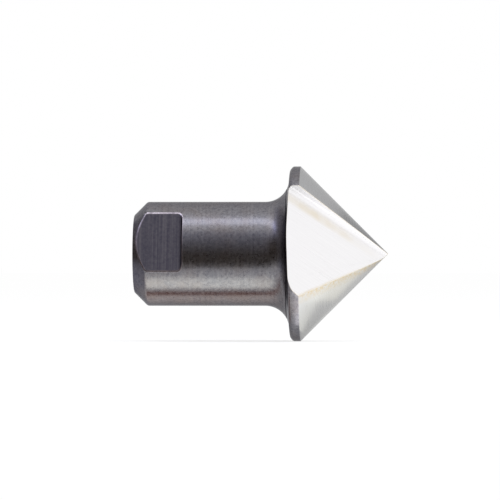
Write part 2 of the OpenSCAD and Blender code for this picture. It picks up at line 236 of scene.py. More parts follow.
wheel_lay = Matrix.Identity(3)
for turn in wheel_turns:
    wheel_lay = Euler([math.radians(angle) for angle in turn]).to_matrix() @ wheel_lay
stroke_way = wheel_lay @ Vector((0, 0, 1))
down_floor_way = wheel_lay @ floor_way
floor_normal = wheel_lay @ Vector((-math.sin(flute_opening), -math.cos(flute_opening), 0))
wall_normal = wheel_lay @ Vector((0, 1, 0))
point_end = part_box("center_point")[1].x
corner_point = Vector((point_end - flute_setback, 0, 0))
print("a flute's floor faces", [round(c, 3) for c in floor_normal])


def folded_place(finish):
    """Adds the nodes that fold the second flute's half of the point onto the first one's."""
    place = add(finish, "ShaderNodeTexCoord").outputs["Object"]
    half = add(finish, "ShaderNodeVectorMath", {
        0: place, 1: (0, floor_normal.y, floor_normal.z)}, operation="DOT_PRODUCT").outputs["Value"]
    sign = add(finish, "ShaderNodeMath", {0: half}, operation="SIGN").outputs[0]
    fold = add(finish, "ShaderNodeCombineXYZ", {"X": 1, "Y": sign, "Z": sign}).outputs["Vector"]
    return add(finish, "ShaderNodeVectorMath", {0: place, 1: fold}, operation="MULTIPLY").outputs["Vector"]


# %% [markdown]
# ## Ground steel on the cone
# The cone was ground after the bath, so it is bare hardened steel: mid grey, fairly bright, with very fine
# rings from the grinding wheel. The rings change along the axis only, because the part turned under the
# wheel. Beside the floor of a flute, where coolant dried, there is a speckled band of golden tarnish. The
# distance from the floor's plane says how far a point lies from that border.

# %% Rings on the cone
ground_cone = empty_finish("ground_cone_steel")
place = folded_place(ground_cone)
# Grinding marks are a few hundredths of a millimetre apart; they are drawn at 0.2 mm so that they show.
ring_space = add(ground_cone, "ShaderNodeMapping", {
    "Vector": place, "Scale": (1 / (0.2 * MM), 1 / (20 * MM), 1 / (20 * MM))}).outputs["Vector"]
rings = add(ground_cone, "ShaderNodeTexNoise", {
    "Vector": ring_space, "Scale": 1, "Detail": 3, "Roughness": 0.6}).outputs["Fac"]
ring_tone = add(ground_cone, "ShaderNodeMix", {
    MIX_FACTOR: rings, MIX_A: linear("#a5a5a6"), MIX_B: linear("#b1b1b2")}, data_type="RGBA")
print("rings for", ground_cone.name)

# %% Tarnish on the cone
depth = add(ground_cone, "ShaderNodeVectorMath", {
    0: place, 1: floor_normal}, operation="DOT_PRODUCT").outputs["Value"]
depth = add(ground_cone, "ShaderNodeMath", {
    0: depth, 1: corner_point.dot(floor_normal)}, operation="SUBTRACT").outputs[0]
depth = add(ground_cone, "ShaderNodeMath", {0: depth}, operation="ABSOLUTE").outputs[0]
border_share = add(ground_cone, "ShaderNodeMapRange", {
    "Value": depth, "From Min": 0.1 * MM, "From Max": 1.3 * MM, "To Min": 1, "To Max": 0})
# Dried drops leave spots of about half a millimetre.
spots = add(ground_cone, "ShaderNodeTexNoise", {
    "Vector": place, "Scale": 1 / (0.5 * MM), "Detail": 3, "Roughness": 0.6}).outputs["Fac"]
spot_share = add(ground_cone, "ShaderNodeMapRange", {
    "Value": spots, "From Min": 0.4, "From Max": 0.62, "To Min": 0.15, "To Max": 0.9})
tint_share = add(ground_cone, "ShaderNodeMath", {
    0: border_share.outputs["Result"], 1: spot_share.outputs["Result"]}, operation="MULTIPLY").outputs[0]
# The floor's plane also cuts the far side of the cone behind the wall, where there is no border.
before_wall = add(ground_cone, "ShaderNodeVectorMath", {
    0: place, 1: wall_normal}, operation="DOT_PRODUCT").outputs["Value"]
before_wall = add(ground_cone, "ShaderNodeMath", {0: before_wall, 1: 0}, operation="GREATER_THAN").outputs[0]
tint_share = add(ground_cone, "ShaderNodeMath", {
    0: tint_share, 1: before_wall}, operation="MULTIPLY").outputs[0]
print("tarnish for", ground_cone.name)

# %% Ground cone
cone_tone = add(ground_cone, "ShaderNodeMix", {
    MIX_FACTOR: tint_share, MIX_A: ring_tone.outputs[MIX_OUT], MIX_B: linear("#a8987c")},
    data_type="RGBA")
gloss = add(ground_cone, "ShaderNodeMapRange", {
    "Value": rings, **NOISE_RANGE, "To Min": 0.24, "To Max": 0.34})
relief = add(ground_cone, "ShaderNodeBump", {"Height": rings, "Strength": 0.08, "Distance": 0.01 * MM})
shader = add(ground_cone, "ShaderNodeBsdfPrincipled", {
    "Base Color": cone_tone.outputs[MIX_OUT], "Roughness": gloss.outputs["Result"],
    "Normal": relief.outputs["Normal"], "Metallic": 1, "Specular Tint": (0.72, 0.72, 0.72, 1)})
add(ground_cone, "ShaderNodeOutputMaterial", {"Surface": shader.outputs["BSDF"]})
print("finish:", ground_cone.name)

# %% [markdown]
# ## Ground steel in the flutes
# Each flute was ground with a straight stroke of the wheel, from the rim to the tip. So its noise is long
# along the stroke and fine across it, measured on the folded place. A band beside the round corner is tinted
# a warmer, darker straw, and straw-coloured tarnish runs along the edges, where the steel was hottest. The
# distance from the corner line finds the band, and the distance inside the cone the edges. Both fade towards
# the tip.

# %% Marks in the flutes
ground_flute = empty_finish("ground_flute_steel")
place = folded_place(ground_flute)
# The wheel's grit leaves much finer marks; they are drawn 0.25 mm wide and 12 mm long so that they show.
along = add(ground_flute, "ShaderNodeVectorMath", {
    0: place, 1: stroke_way / (12 * MM)}, operation="DOT_PRODUCT").outputs["Value"]
across = add(ground_flute, "ShaderNodeVectorMath", {
    0: place, 1: down_floor_way / (0.25 * MM)}, operation="DOT_PRODUCT").outputs["Value"]
stroke_space = add(ground_flute, "ShaderNodeCombineXYZ", {"X": along, "Y": across}).outputs["Vector"]
strokes = add(ground_flute, "ShaderNodeTexNoise", {
    "Vector": stroke_space, "Scale": 1, "Detail": 4, "Roughness": 0.6}).outputs["Fac"]
stroke_tone = add(ground_flute, "ShaderNodeMix", {
    MIX_FACTOR: strokes, MIX_A: linear("#afaeaf"), MIX_B: linear("#c5c4c5")}, data_type="RGBA")
print("marks for", ground_flute.name)

# %% Warm band and tarnish in the flutes
# The band beside the corner line is only a warmer, darker tint of the strokes.
stripe_middle = corner_point.dot(down_floor_way) + 1.3 * MM
from_stripe = add(ground_flute, "ShaderNodeVectorMath", {
    0: place, 1: down_floor_way}, operation="DOT_PRODUCT").outputs["Value"]
from_stripe = add(ground_flute, "ShaderNodeMath", {
    0: from_stripe, 1: stripe_middle}, operation="SUBTRACT").outputs[0]
from_stripe = add(ground_flute, "ShaderNodeMath", {0: from_stripe}, operation="ABSOLUTE").outputs[0]
stripe_share = add(ground_flute, "ShaderNodeMapRange", {
    "Value": from_stripe, "From Min": 0.3 * MM, "From Max": 1.1 * MM, "To Min": 1, "To Max": 0})
off_axis = add(ground_flute, "ShaderNodeVectorMath", {0: place, 1: (0, 1, 1)}, operation="MULTIPLY")
radius = add(ground_flute, "ShaderNodeVectorMath", {
    0: off_axis.outputs["Vector"]}, operation="LENGTH").outputs["Value"]
station = add(ground_flute, "ShaderNodeSeparateXYZ", {"Vector": place}).outputs["X"]
# At 45 degrees, the cone's radius at a station is the distance from there to its tip.
cone_r = add(ground_flute, "ShaderNodeMath", {0: point_end, 1: station}, operation="SUBTRACT").outputs[0]
inset = add(ground_flute, "ShaderNodeMath", {0: cone_r, 1: radius}, operation="SUBTRACT").outputs[0]
border_share = add(ground_flute, "ShaderNodeMapRange", {
    "Value": inset, "From Min": 0.05 * MM, "From Max": 0.35 * MM, "To Min": 1, "To Max": 0})
band_and_edge_share = add(ground_flute, "ShaderNodeMath", {
    0: stripe_share.outputs["Result"], 1: border_share.outputs["Result"]}, operation="MAXIMUM").outputs[0]
# The tint varies along the stroke, in patches of a few millimetres.
tint_patches = add(ground_flute, "ShaderNodeTexNoise", {
    "Vector": place, "Scale": 1 / (3 * MM), "Detail": 2, "Roughness": 0.5}).outputs["Fac"]
tint_patch_share = add(ground_flute, "ShaderNodeMapRange", {
    "Value": tint_patches, "From Min": 0.35, "From Max": 0.65, "To Min": 0.25, "To Max": 0.65})
tint_share = add(ground_flute, "ShaderNodeMath", {
    0: band_and_edge_share, 1: tint_patch_share.outputs["Result"]}, operation="MULTIPLY").outputs[0]
# The wheel took the least off at the tip, and the tint falls off towards it.
tip_fade = add(ground_flute, "ShaderNodeMapRange", {
    "Value": station, "From Min": point_end - 11.5 * MM, "From Max": point_end - 1.5 * MM,
    "To Min": 1, "To Max": 0})
tint_share = add(ground_flute, "ShaderNodeMath", {
    0: tint_share, 1: tip_fade.outputs["Result"]}, operation="MULTIPLY").outputs[0]
print("tarnish for", ground_flute.name)

# %% Ground flutes
flute_tone = add(ground_flute, "ShaderNodeMix", {
    MIX_FACTOR: tint_share, MIX_A: stroke_tone.outputs[MIX_OUT], MIX_B: linear("#aea594")},
    data_type="RGBA")
gloss = add(ground_flute, "ShaderNodeMapRange", {
    "Value": strokes, **NOISE_RANGE, "To Min": 0.26, "To Max": 0.38})
relief = add(ground_flute, "ShaderNodeBump", {"Height": strokes, "Strength": 0.15, "Distance": 0.02 * MM})
shader = add(ground_flute, "ShaderNodeBsdfPrincipled", {
    "Base Color": flute_tone.outputs[MIX_OUT], "Roughness": gloss.outputs["Result"],
    "Normal": relief.outputs["Normal"], "Metallic": 1})
add(ground_flute, "ShaderNodeOutputMaterial", {"Surface": shader.outputs["BSDF"]})
print("finish:", ground_flute.name)

# %% [markdown]
# ## The freshly ground edge
# Where two ground faces meet, a stone has taken the burr off and left a narrow bright line. It is the
# brightest steel on the part, so it has a finish of its own, with a little unevenness along its length.

# %% Stoned edge
stoned_edge = empty_finish("stoned_edge_steel")
place = add(stoned_edge, "ShaderNodeTexCoord").outputs["Object"]
uneven = add(stoned_edge, "ShaderNodeTexNoise", {
    "Vector": place, "Scale": 1 / (0.8 * MM), "Detail": 3, "Roughness": 0.6}).outputs["Fac"]
edge_tone = add(stoned_edge, "ShaderNodeMix", {
    MIX_FACTOR: uneven, MIX_A: linear("#a39b8e"), MIX_B: linear("#c4bfb6")}, data_type="RGBA")
edge_gloss = add(stoned_edge, "ShaderNodeMapRange", {
    "Value": uneven, **NOISE_RANGE, "To Min": 0.2, "To Max": 0.3})
shader = add(stoned_edge, "ShaderNodeBsdfPrincipled", {
    "Base Color": edge_tone.outputs[MIX_OUT], "Roughness": edge_gloss.outputs["Result"], "Metallic": 1})
add(stoned_edge, "ShaderNodeOutputMaterial", {"Surface": shader.outputs["BSDF"]})
print("finish:", stoned_edge.name)

# %% [markdown]
# ## Turned pieces
# A lathe makes a round form from one profile, and so does Blender's Spin. The profile starts as one vertex,
# which is extruded from point to point. Each point is a station along the axis and a radius. A vertex bevel
# then breaks the corners, because no turned edge is perfectly sharp, and that thin round is what catches the
# light. Spin needs its seam merged and its normals turned outwards afterwards.

# %% Helpers for selecting
def select_only(piece):
    """Makes a piece the only selected and the active object."""
    bpy.ops.object.select_all(action="DESELECT")
    bpy.context.view_layer.objects.active = piece
    piece.select_set(True)


def select_where(piece, kind, test):
    """In edit mode, selects the vertices, edges or faces of a piece that pass a test."""
    mesh = bmesh.from_edit_mesh(piece.data)
    for group in (mesh.faces, mesh.edges, mesh.verts):
        for item in group:
            item.select = False
    for item in getattr(mesh, kind):
        if test(item):
            item.select_set(True)
    bmesh.update_edit_mesh(piece.data)


# %% Helpers for turned pieces
TURN_STEPS = 144
CORNER_STEPS = 8
CORNER_ANGLE = math.radians(20)
MERGE = 0.0005 * MM


def is_corner(vertex):
    """True where a profile turns by more than a blend of short steps does."""
    if len(vertex.link_edges) != 2:
        return False
    one, other = [(edge.other_vert(vertex).co - vertex.co).normalized() for edge in vertex.link_edges]
    return one.angle(-other) > CORNER_ANGLE


def drawn(name, points):
    """Draws a line from point to point and leaves its object in edit mode."""
    bpy.ops.object.select_all(action="DESELECT")
    bpy.ops.mesh.primitive_plane_add(size=MM, location=(0, 0, 0))
    piece = bpy.context.object
    piece.name = name
    bpy.ops.object.mode_set(mode="EDIT")
    bpy.ops.mesh.select_mode(type="VERT")
    bpy.ops.mesh.merge(type="CENTER")
    bpy.ops.transform.translate(value=points[0])
    for start, end in zip(points, points[1:]):
        bpy.ops.mesh.extrude_region_move(TRANSFORM_OT_translate={"value": end - start})
    return piece


def turned(name, profile, edge_breaks):
    """Spins a profile of (station, radius) points about the X axis.

    edge_breaks lists (width, from station, to station) for the corners to break.
    """
    piece = drawn(name, [Vector((station, 0, radius)) for station, radius in profile])
    bpy.ops.mesh.select_all(action="SELECT")
    bpy.ops.mesh.remove_doubles(threshold=MERGE)
    for width, low, high in edge_breaks:
        select_where(piece, "verts", lambda v: low < v.co.x < high and is_corner(v))
        bpy.ops.mesh.bevel(offset=width, segments=CORNER_STEPS, affect="VERTICES")
    bpy.ops.mesh.select_all(action="SELECT")
    bpy.ops.mesh.spin(steps=TURN_STEPS, angle=2 * math.pi, center=(0, 0, 0), axis=(1, 0, 0))
    bpy.ops.mesh.select_all(action="SELECT")
    bpy.ops.mesh.remove_doubles(threshold=MERGE)
    bpy.ops.mesh.normals_make_consistent(inside=False)
    bpy.ops.object.mode_set(mode="OBJECT")
    print(name, "turned with", len(piece.data.polygons), "faces")
    return piece


# %% [markdown]
# ## The shank
# The shank is turned from bar: a chamfered rear end, a straight wall, a neck that flares out in an arc, and
# a nose that reaches into the point. It is bored through in steps for the bearings. The frame gives the main
# places, and the small sizes mean what they mean in the CAD model. Only the neck differs: its arc is a little
# larger here and starts further back, because the real neck is fuller. The profile is one closed loop that
# runs round the outside and back through the bores.

# %% Sizes of the shank
shank_low, shank_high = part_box("shank_body")
mounts = {mount["name"]: mount for mount in frame["record"]["mounts"]}
shank_r = mounts["shank"]["dims"]["r_mm"] * MM
shank_rear = shank_low.x
nose_front = shank_high.x
rear_chamfer = 2.45 * MM
neck_r = 4.4 * MM
neck_start = -0.54 * MM
nose_r = 8.5 * MM
nose_length = 1.8 * MM
bore_r = 7.01 * MM
rear_bore_r = 6.01 * MM
stem_hole_r = 3.2 * MM
head_front = nose_front - nose_length
web_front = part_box("thrust_housing_washer")[0].x
web_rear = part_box("rear_outer_ring")[1].x
print("shank from", round(shank_rear / MM, 2), "to", round(nose_front / MM, 2), "mm")

# %% Turn the shank
NECK_STEPS = 16
rear_break = 0.15 * MM
chamfer_break = 0.3 * MM
fine_break = 0.03 * MM


def neck_arc(start, end):
    """Points of the neck's arc from one station to another."""
    first, last = [math.asin((station - neck_start) / neck_r) for station in (start, end)]
    turns = [first + (last - first) * i / NECK_STEPS for i in range(NECK_STEPS + 1)]
    return [(neck_start + neck_r * math.sin(a), shank_r + neck_r - neck_r * math.cos(a)) for a in turns]


shank = turned("shank_turned", [
    (shank_rear, rear_bore_r), (shank_rear, shank_r - rear_chamfer), (shank_rear + rear_chamfer, shank_r),
    *neck_arc(neck_start, head_front), (head_front, nose_r), (nose_front, nose_r), (nose_front, bore_r),
    (web_front, bore_r), (web_front, stem_hole_r), (web_rear, stem_hole_r), (web_rear, rear_bore_r),
    (shank_rear, rear_bore_r),
], edge_breaks=[(rear_break, shank_rear - MM, shank_rear + MM),
                (chamfer_break, shank_rear + MM, web_rear - MM),
                (fine_break, web_rear - MM, nose_front + MM)])

# %% [markdown]
# ## Cutting and softening
# A milled or ground face is cut with a Boolean, as the cutter would do it. The cutter carries its own
# finish, and the Boolean hands it to the faces that it leaves. So the edges round a cut are the ones with
# that finish on one side only. A narrow bevel breaks them, and Weighted Normal keeps the large faces flat.

# %% Helpers for cuts
BREAK_STEPS = 3
SMOOTH_ANGLE = math.radians(25)


def apply_modifier(piece, kind, **settings):
    """Adds a modifier with its settings and applies it at once."""
    select_only(piece)
    modifier = piece.modifiers.new(kind.lower(), kind)
    for key, value in settings.items():
        setattr(modifier, key, value)
    bpy.ops.object.modifier_apply(modifier=modifier.name)


def cut(piece, cutter):
    """Takes the cutter's shape out of the piece and removes the cutter."""
    apply_modifier(piece, "BOOLEAN", operation="DIFFERENCE", solver="EXACT", object=cutter,
                   material_mode="TRANSFER")
    bpy.data.objects.remove(cutter)


def soften(piece, width, cut_finish, edge_finish):
    """Breaks the edges round the cut faces, gives the breaks their finish and shades the piece."""
    cut_slot = piece.data.materials.find(cut_finish.name)
    select_only(piece)
    bpy.ops.object.mode_set(mode="EDIT")
    bpy.ops.mesh.select_mode(type="EDGE")
    select_where(piece, "edges", lambda edge: sum(
        face.material_index == cut_slot for face in edge.link_faces) == 1)
    bpy.ops.mesh.bevel(offset=width, segments=BREAK_STEPS, affect="EDGES",
                       material=piece.data.materials.find(edge_finish.name))
    bpy.ops.object.mode_set(mode="OBJECT")
    bpy.ops.object.shade_smooth_by_angle(angle=SMOOTH_ANGLE)
    apply_modifier(piece, "WEIGHTED_NORMAL", keep_sharp=True)


def settle(piece, turn=(0, 0, 0), move=(0, 0, 0)):
    """Turns a piece about the origin by degrees, moves it and applies both to its mesh."""
    select_only(piece)
    piece.rotation_euler = [math.radians(angle) for angle in turn]
    piece.location = move
    bpy.ops.object.transform_apply(location=True, rotation=True, scale=True)


# %% [markdown]
# ## The clamping flat
# A side screw in the holder presses on this flat and keeps the shank from turning. It was milled with an end
# mill from the rear, so its front wall has the cutter's small corner radius. The cutter is a box with one
# bevelled edge. It cuts the top of the shank, and the whole shank is then turned to where the frame has it.

# %% Mill the clamping flat
flat_depth = 1.75 * MM
flat_length = 9.1 * MM
flat_corner_r = 0.8 * MM
flat_edge_break = 0.2 * MM
overrun = 4 * MM

for finish in (black_oxide, milled_oxide, worn_edge):
    shank.data.materials.append(finish)
flat_floor = shank_r - flat_depth
flat_front = shank_rear + flat_length
bpy.ops.object.select_all(action="DESELECT")
bpy.ops.mesh.primitive_cube_add(size=1, location=(
    flat_front - (flat_length + overrun) / 2, 0, flat_floor + overrun / 2))
flat_cutter = bpy.context.object
flat_cutter.scale = (flat_length + overrun, 2 * shank_r + overrun, overrun)
bpy.ops.object.transform_apply(location=True, rotation=True, scale=True)
flat_cutter.data.materials.append(milled_oxide)
bpy.ops.object.mode_set(mode="EDIT")
select_where(flat_cutter, "edges", lambda edge: all(
    abs(v.co.x - flat_front) < MERGE and abs(v.co.z - flat_floor) < MERGE for v in edge.verts))
bpy.ops.mesh.bevel(offset=flat_corner_r, segments=CORNER_STEPS, affect="EDGES")
bpy.ops.object.mode_set(mode="OBJECT")
cut(shank, flat_cutter)
soften(shank, flat_edge_break, milled_oxide, worn_edge)
settle(shank, turn=(90 - flat_clock, 0, 0))
print("shank faces after milling:", len(shank.data.polygons))

# %% [markdown]
# ## The point
# The point is one piece from the tip to the end of its stem: the cone, the thin rim, the end of the neck's
# arc, a recess that covers the nose, the journal that runs in the needle bearing, and the stem with the
# retaining ring's groove. It is turned in the same way. Its cone and its journal are ground bright, so the
# faces there get the ground finish, and the rim keeps the oxide.

# %% Sizes of the point
ring_low, ring_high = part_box("retaining_ring")
point_half_angle = math.radians(45)
rim_r = 16 * MM
rim_band = 1.35 * MM
rim_bevel = 0.55 * MM
rim_bevel_angle = math.radians(50)
rim_draft = math.radians(6)
parting_gap = 0.12 * MM
running_gap = 0.2 * MM
journal_r = 5 * MM
stem_r = 3 * MM
groove_r = 2.85 * MM
stem_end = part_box("center_point")[0].x
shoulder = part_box("thrust_shaft_washer")[1].x
recess_r = nose_r + running_gap
recess_floor = nose_front + running_gap

neck_end = neck_start + neck_r * math.cos(rim_draft)
point_neck = neck_arc(head_front + parting_gap, neck_end)
rim_rear_r = rim_r - rim_bevel * math.tan(rim_bevel_angle)
rim_rear = neck_end + (rim_rear_r - point_neck[-1][1]) * math.tan(rim_draft)
rim_front = rim_rear + rim_bevel + rim_band
tip = rim_front + rim_r / math.tan(point_half_angle)
print("rim and tip stations in mm:", round(rim_front / MM, 3), round(tip / MM, 3))

# %% Turn the point
rim_break = 0.25 * MM
cone_break = 0.06 * MM
band_station = rim_front - 0.5 * MM
point = turned("point_ground", [
    (tip, 0), (rim_front, rim_r), (rim_rear + rim_bevel, rim_r), (rim_rear, rim_rear_r),
    *reversed(point_neck), (head_front + parting_gap, recess_r), (recess_floor, recess_r),
    (recess_floor, journal_r), (shoulder, journal_r), (shoulder, stem_r), (ring_high.x, stem_r),
    (ring_high.x, groove_r), (ring_low.x, groove_r), (ring_low.x, stem_r), (stem_end, stem_r), (stem_end, 0),
], edge_breaks=[(fine_break, stem_end - MM, neck_end), (rim_break, neck_end, band_station),
                (cone_break, band_station, rim_front + MM)])

# %% Give the cone and the journal the ground finish
for finish in (black_oxide, ground_cone, ground_flute, stoned_edge):
    point.data.materials.append(finish)
select_only(point)
bpy.ops.object.mode_set(mode="EDIT")
cone_start = rim_front + 0.05 * MM


def is_ground(face):
    """True on the cone, and on the journal and stem behind the recess."""
    middle = face.calc_center_median()
    return middle.x > cone_start or middle.yz.length < journal_r + MERGE


select_where(point, "faces", is_ground)
ground_slot = point.data.materials.find(ground_cone.name)
point.active_material_index = ground_slot
bpy.ops.object.material_slot_assign()
bpy.ops.object.mode_set(mode="OBJECT")
print("ground faces:", sum(face.material_index == ground_slot for face in point.data.polygons))

# %% [markdown]
# ## The flutes
# Two flutes are ground into the cone, half a turn apart. Each has a straight wall and a sloping floor that
# meet in a round corner, and the corner line runs at 41 degrees to the axis, so it comes out at the rim. The
# wheel's path is drawn as an outline, its corner is rounded with a vertex bevel, and the outline is extruded
# along the stroke. It is then laid to its place, and the second wheel is a copy of the first.

# %% Draw the wheel's path
FLUTE_CORNER_STEPS = 10
flute_corner_r = 1.5 * MM
wheel_reach = 60 * MM
wall_way = Vector((-1, 0, 0))

wheel = drawn("wheel_path", [
    wall_way * wheel_reach, Vector((0, 0, 0)), floor_way * wheel_reach, (wall_way + floor_way) * wheel_reach])
bpy.ops.mesh.select_all(action="SELECT")
bpy.ops.mesh.edge_face_add()
select_where(wheel, "verts", lambda v: v.co.length < MERGE)
bpy.ops.mesh.bevel(offset=flute_corner_r / math.tan(flute_opening / 2), segments=FLUTE_CORNER_STEPS,
                   affect="VERTICES")
bpy.ops.mesh.select_all(action="SELECT")
bpy.ops.transform.translate(value=(0, 0, -rim_r))
bpy.ops.mesh.extrude_region_move(TRANSFORM_OT_translate={"value": (0, 0, wheel_reach)})
bpy.ops.mesh.select_all(action="SELECT")
bpy.ops.mesh.normals_make_consistent(inside=False)
bpy.ops.object.mode_set(mode="OBJECT")
wheel.data.materials.append(ground_flute)
print("wheel path faces:", len(wheel.data.polygons))

# %% Grind the flutes
flute_edge_break = 0.06 * MM

settle(wheel, turn=wheel_turns[0], move=(0, 0, tip - flute_setback))
for turn in wheel_turns[1:]:
    settle(wheel, turn=turn)
select_only(wheel)
bpy.ops.object.duplicate()
second_wheel = bpy.context.object
settle(second_wheel, turn=(180, 0, 0))
for path in (wheel, second_wheel):
    cut(point, path)
soften(point, flute_edge_break, ground_flute, stoned_edge)
print("point faces after grinding:", len(point.data.polygons))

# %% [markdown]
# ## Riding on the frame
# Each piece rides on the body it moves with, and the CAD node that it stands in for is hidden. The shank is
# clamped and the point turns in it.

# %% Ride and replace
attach(shank, "shank")
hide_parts("shank_body")
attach(point, "point")
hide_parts("center_point")
print(shank.name, "and", point.name, "ride on their bodies")

# %% [markdown]
# ## The cover at the rear
# The end plug is a turned disc that closes the bore behind the bearings. It was faced on a lathe, so its
# marks are circles round the axis. The finish reads the distance from the axis, where the shank's reads the
# station along it, and it has the same oxide on top.

# %% Faced black oxide
faced_oxide = empty_finish("faced_black_oxide_steel")
place = add(faced_oxide, "ShaderNodeTexCoord").outputs["Object"]
off_axis = add(faced_oxide, "ShaderNodeVectorMath", {0: place, 1: (0, 1, 1)}, operation="MULTIPLY")
distance = add(faced_oxide, "ShaderNodeVectorMath", {
    0: off_axis.outputs["Vector"]}, operation="LENGTH").outputs["Value"]
# Facing feed is about 0.1 mm a turn; it is drawn at 0.3 mm so that it shows.
feed = add(faced_oxide, "ShaderNodeMath", {0: distance, 1: 1 / (0.3 * MM)}, operation="MULTIPLY")
circles = add(faced_oxide, "ShaderNodeTexNoise", {
    "W": feed.outputs["Value"], "Scale": 1, "Detail": 2, "Roughness": 0.5},
    noise_dimensions="1D").outputs["Fac"]
faced_tone = add(faced_oxide, "ShaderNodeMix", {
    MIX_FACTOR: circles, MIX_A: linear("#544f53"), MIX_B: linear("#757074")}, data_type="RGBA")
satin = add(faced_oxide, "ShaderNodeMapRange", {
    "Value": circles, **NOISE_RANGE, "To Min": 0.3, "To Max": 0.42})
relief = add(faced_oxide, "ShaderNodeBump", {"Height": circles, "Strength": 0.2, "Distance": 0.02 * MM})
shader = add(faced_oxide, "ShaderNodeBsdfPrincipled", {
    "Base Color": faced_tone.outputs[MIX_OUT], "Roughness": satin.outputs["Result"],
    "Normal": relief.outputs["Normal"], "Metallic": 1, "Specular Tint": (0.35, 0.35, 0.36, 1)})
add(faced_oxide, "ShaderNodeOutputMaterial", {"Surface": shader.outputs["BSDF"]})
print("finish:", faced_oxide.name)

# %% [markdown]
# ## The metals of the bearings
# The bearings stay as the CAD model has them, because their rings, rollers and balls are plain ground
# forms. They differ in finish: bearing steel is lapped almost to a mirror, pressed sheet is duller with a
# mottled grey, the retaining ring is phosphated spring steel, and the thrust cage is turned brass. Each is a
# metal with two tones that a noise of its own size mixes, so one table holds them.

# %% Bearing metals
bearing_metals = {}
for name, dark, light, grain, low, high in [
    # Lapped steel: light, with a fine even grain of about 0.2 mm and a sharp gloss
    ("bearing_steel", "#aaacb0", "#c2c4c8", 0.2 * MM, 0.12, 0.2),
    # Drawn sheet: mid grey, with spangle-like mottling of about 1 mm
    ("pressed_steel", "#7f8083", "#989a9c", 1.0 * MM, 0.3, 0.42),
    # Phosphated spring steel: dark and crystalline, with grains of about 0.15 mm
    ("spring_steel", "#3f3f44", "#55555a", 0.15 * MM, 0.45, 0.6),
    # Turned brass: yellow, with slight tarnish in patches of about 2 mm
    ("cage_brass", "#a98744", "#c39f58", 2.0 * MM, 0.22, 0.34),
]:
    metal = empty_finish(name)
    place = add(metal, "ShaderNodeTexCoord").outputs["Object"]
    grains = add(metal, "ShaderNodeTexNoise", {
        "Vector": place, "Scale": 1 / grain, "Detail": 3, "Roughness": 0.55}).outputs["Fac"]
    tone = add(metal, "ShaderNodeMix", {
        MIX_FACTOR: grains, MIX_A: linear(dark), MIX_B: linear(light)}, data_type="RGBA")
    gloss = add(metal, "ShaderNodeMapRange", {
        "Value": grains, **NOISE_RANGE, "To Min": low, "To Max": high})
    relief = add(metal, "ShaderNodeBump", {"Height": grains, "Strength": 0.08, "Distance": 0.01 * MM})
    shader = add(metal, "ShaderNodeBsdfPrincipled", {
        "Base Color": tone.outputs[MIX_OUT], "Roughness": gloss.outputs["Result"],
        "Normal": relief.outputs["Normal"], "Metallic": 1})
    add(metal, "ShaderNodeOutputMaterial", {"Surface": shader.outputs["BSDF"]})
    bearing_metals[name] = metal
print("finishes:", ", ".join(bearing_metals))

# %% [markdown]
# ## Seal rubber
# The shaft seal and the plug's ring are nitrile rubber: black, matt and not metallic, with a fine moulded
# grain that breaks up what little light it sends back.

# %% Nitrile rubber
seal_rubber = empty_finish("nitrile_rubber")
place = add(seal_rubber, "ShaderNodeTexCoord").outputs["Object"]
grains = add(seal_rubber, "ShaderNodeTexNoise", {
    "Vector": place, "Scale": 1 / (0.1 * MM), "Detail": 2, "Roughness": 0.6}).outputs["Fac"]
tone = add(seal_rubber, "ShaderNodeMix", {
    MIX_FACTOR: grains, MIX_A: linear("#171718"), MIX_B: linear("#262627")}, data_type="RGBA")
matt = add(seal_rubber, "ShaderNodeMapRange", {
    "Value": grains, **NOISE_RANGE, "To Min": 0.5, "To Max": 0.7})
relief = add(seal_rubber, "ShaderNodeBump", {"Height": grains, "Strength": 0.1, "Distance": 0.02 * MM})
shader = add(seal_rubber, "ShaderNodeBsdfPrincipled", {
    "Base Color": tone.outputs[MIX_OUT], "Roughness": matt.outputs["Result"],
    "Normal": relief.outputs["Normal"], "Metallic": 0, "IOR": 1.52})
add(seal_rubber, "ShaderNodeOutputMaterial", {"Surface": shader.outputs["BSDF"]})
print("finish:", seal_rubber.name)

# %% Give the CAD nodes their finishes
slot_of = {part["node"]: part["material_slot"] for part in frame["record"]["subparts"]}
slot_finishes = {**bearing_metals, "seal_rubber": seal_rubber, "black_oxide_steel": faced_oxide}
for name, node in frame["nodes"].items():
    if slot_of[name] not in slot_finishes:
        continue
    for slot in node.material_slots:
        slot.material = slot_finishes[slot_of[name]]
    print(name, "has", slot_of[name])

# %% [markdown]
# ## The floor and the light
# The part was shown cut out on white, in light that comes from all round. The world is white. The floor is
# white paper that keeps the part's shadow. To the camera and to the reflections in the metal it also glows a
# little, so that it looks as white as the world.

# %% White world
scene = bpy.context.scene
scene.view_settings.view_transform = "Standard"

world = bpy.data.worlds.new("white_studio")
scene.world = world
world.use_nodes = True
world.node_tree.nodes.clear()
background = add(world, "ShaderNodeBackground", {"Color": linear("#ffffff"), "Strength": 1})
add(world, "ShaderNodeOutputWorld", {"Surface": background.outputs["Background"]})
print("world:", world.name)

# %% Pale floor
bpy.ops.object.select_all(action="DESELECT")
bpy.ops.mesh.primitive_plane_add(size=6, location=(0, 0, cad_box[0].z))
floor = bpy.context.object
floor.name = "floor"
glow_of_paper = 0.7
floor_paper = empty_finish("floor_paper")
light_path = add(floor_paper, "ShaderNodeLightPath")
seen = add(floor_paper, "ShaderNodeMath", {
    0: light_path.outputs["Is Camera Ray"], 1: light_path.outputs["Is Glossy Ray"]}, operation="ADD")
seen = add(floor_paper, "ShaderNodeMath", {
    0: seen.outputs[0], 1: light_path.outputs["Is Transmission Ray"]}, operation="MAXIMUM")
glow_share = add(floor_paper, "ShaderNodeMath", {
    0: seen.outputs[0], 1: glow_of_paper}, operation="MULTIPLY")
paper = add(floor_paper, "ShaderNodeBsdfDiffuse", {"Color": linear("#fcfcfc")})
glow = add(floor_paper, "ShaderNodeEmission", {"Color": linear("#ffffff"), "Strength": 1})
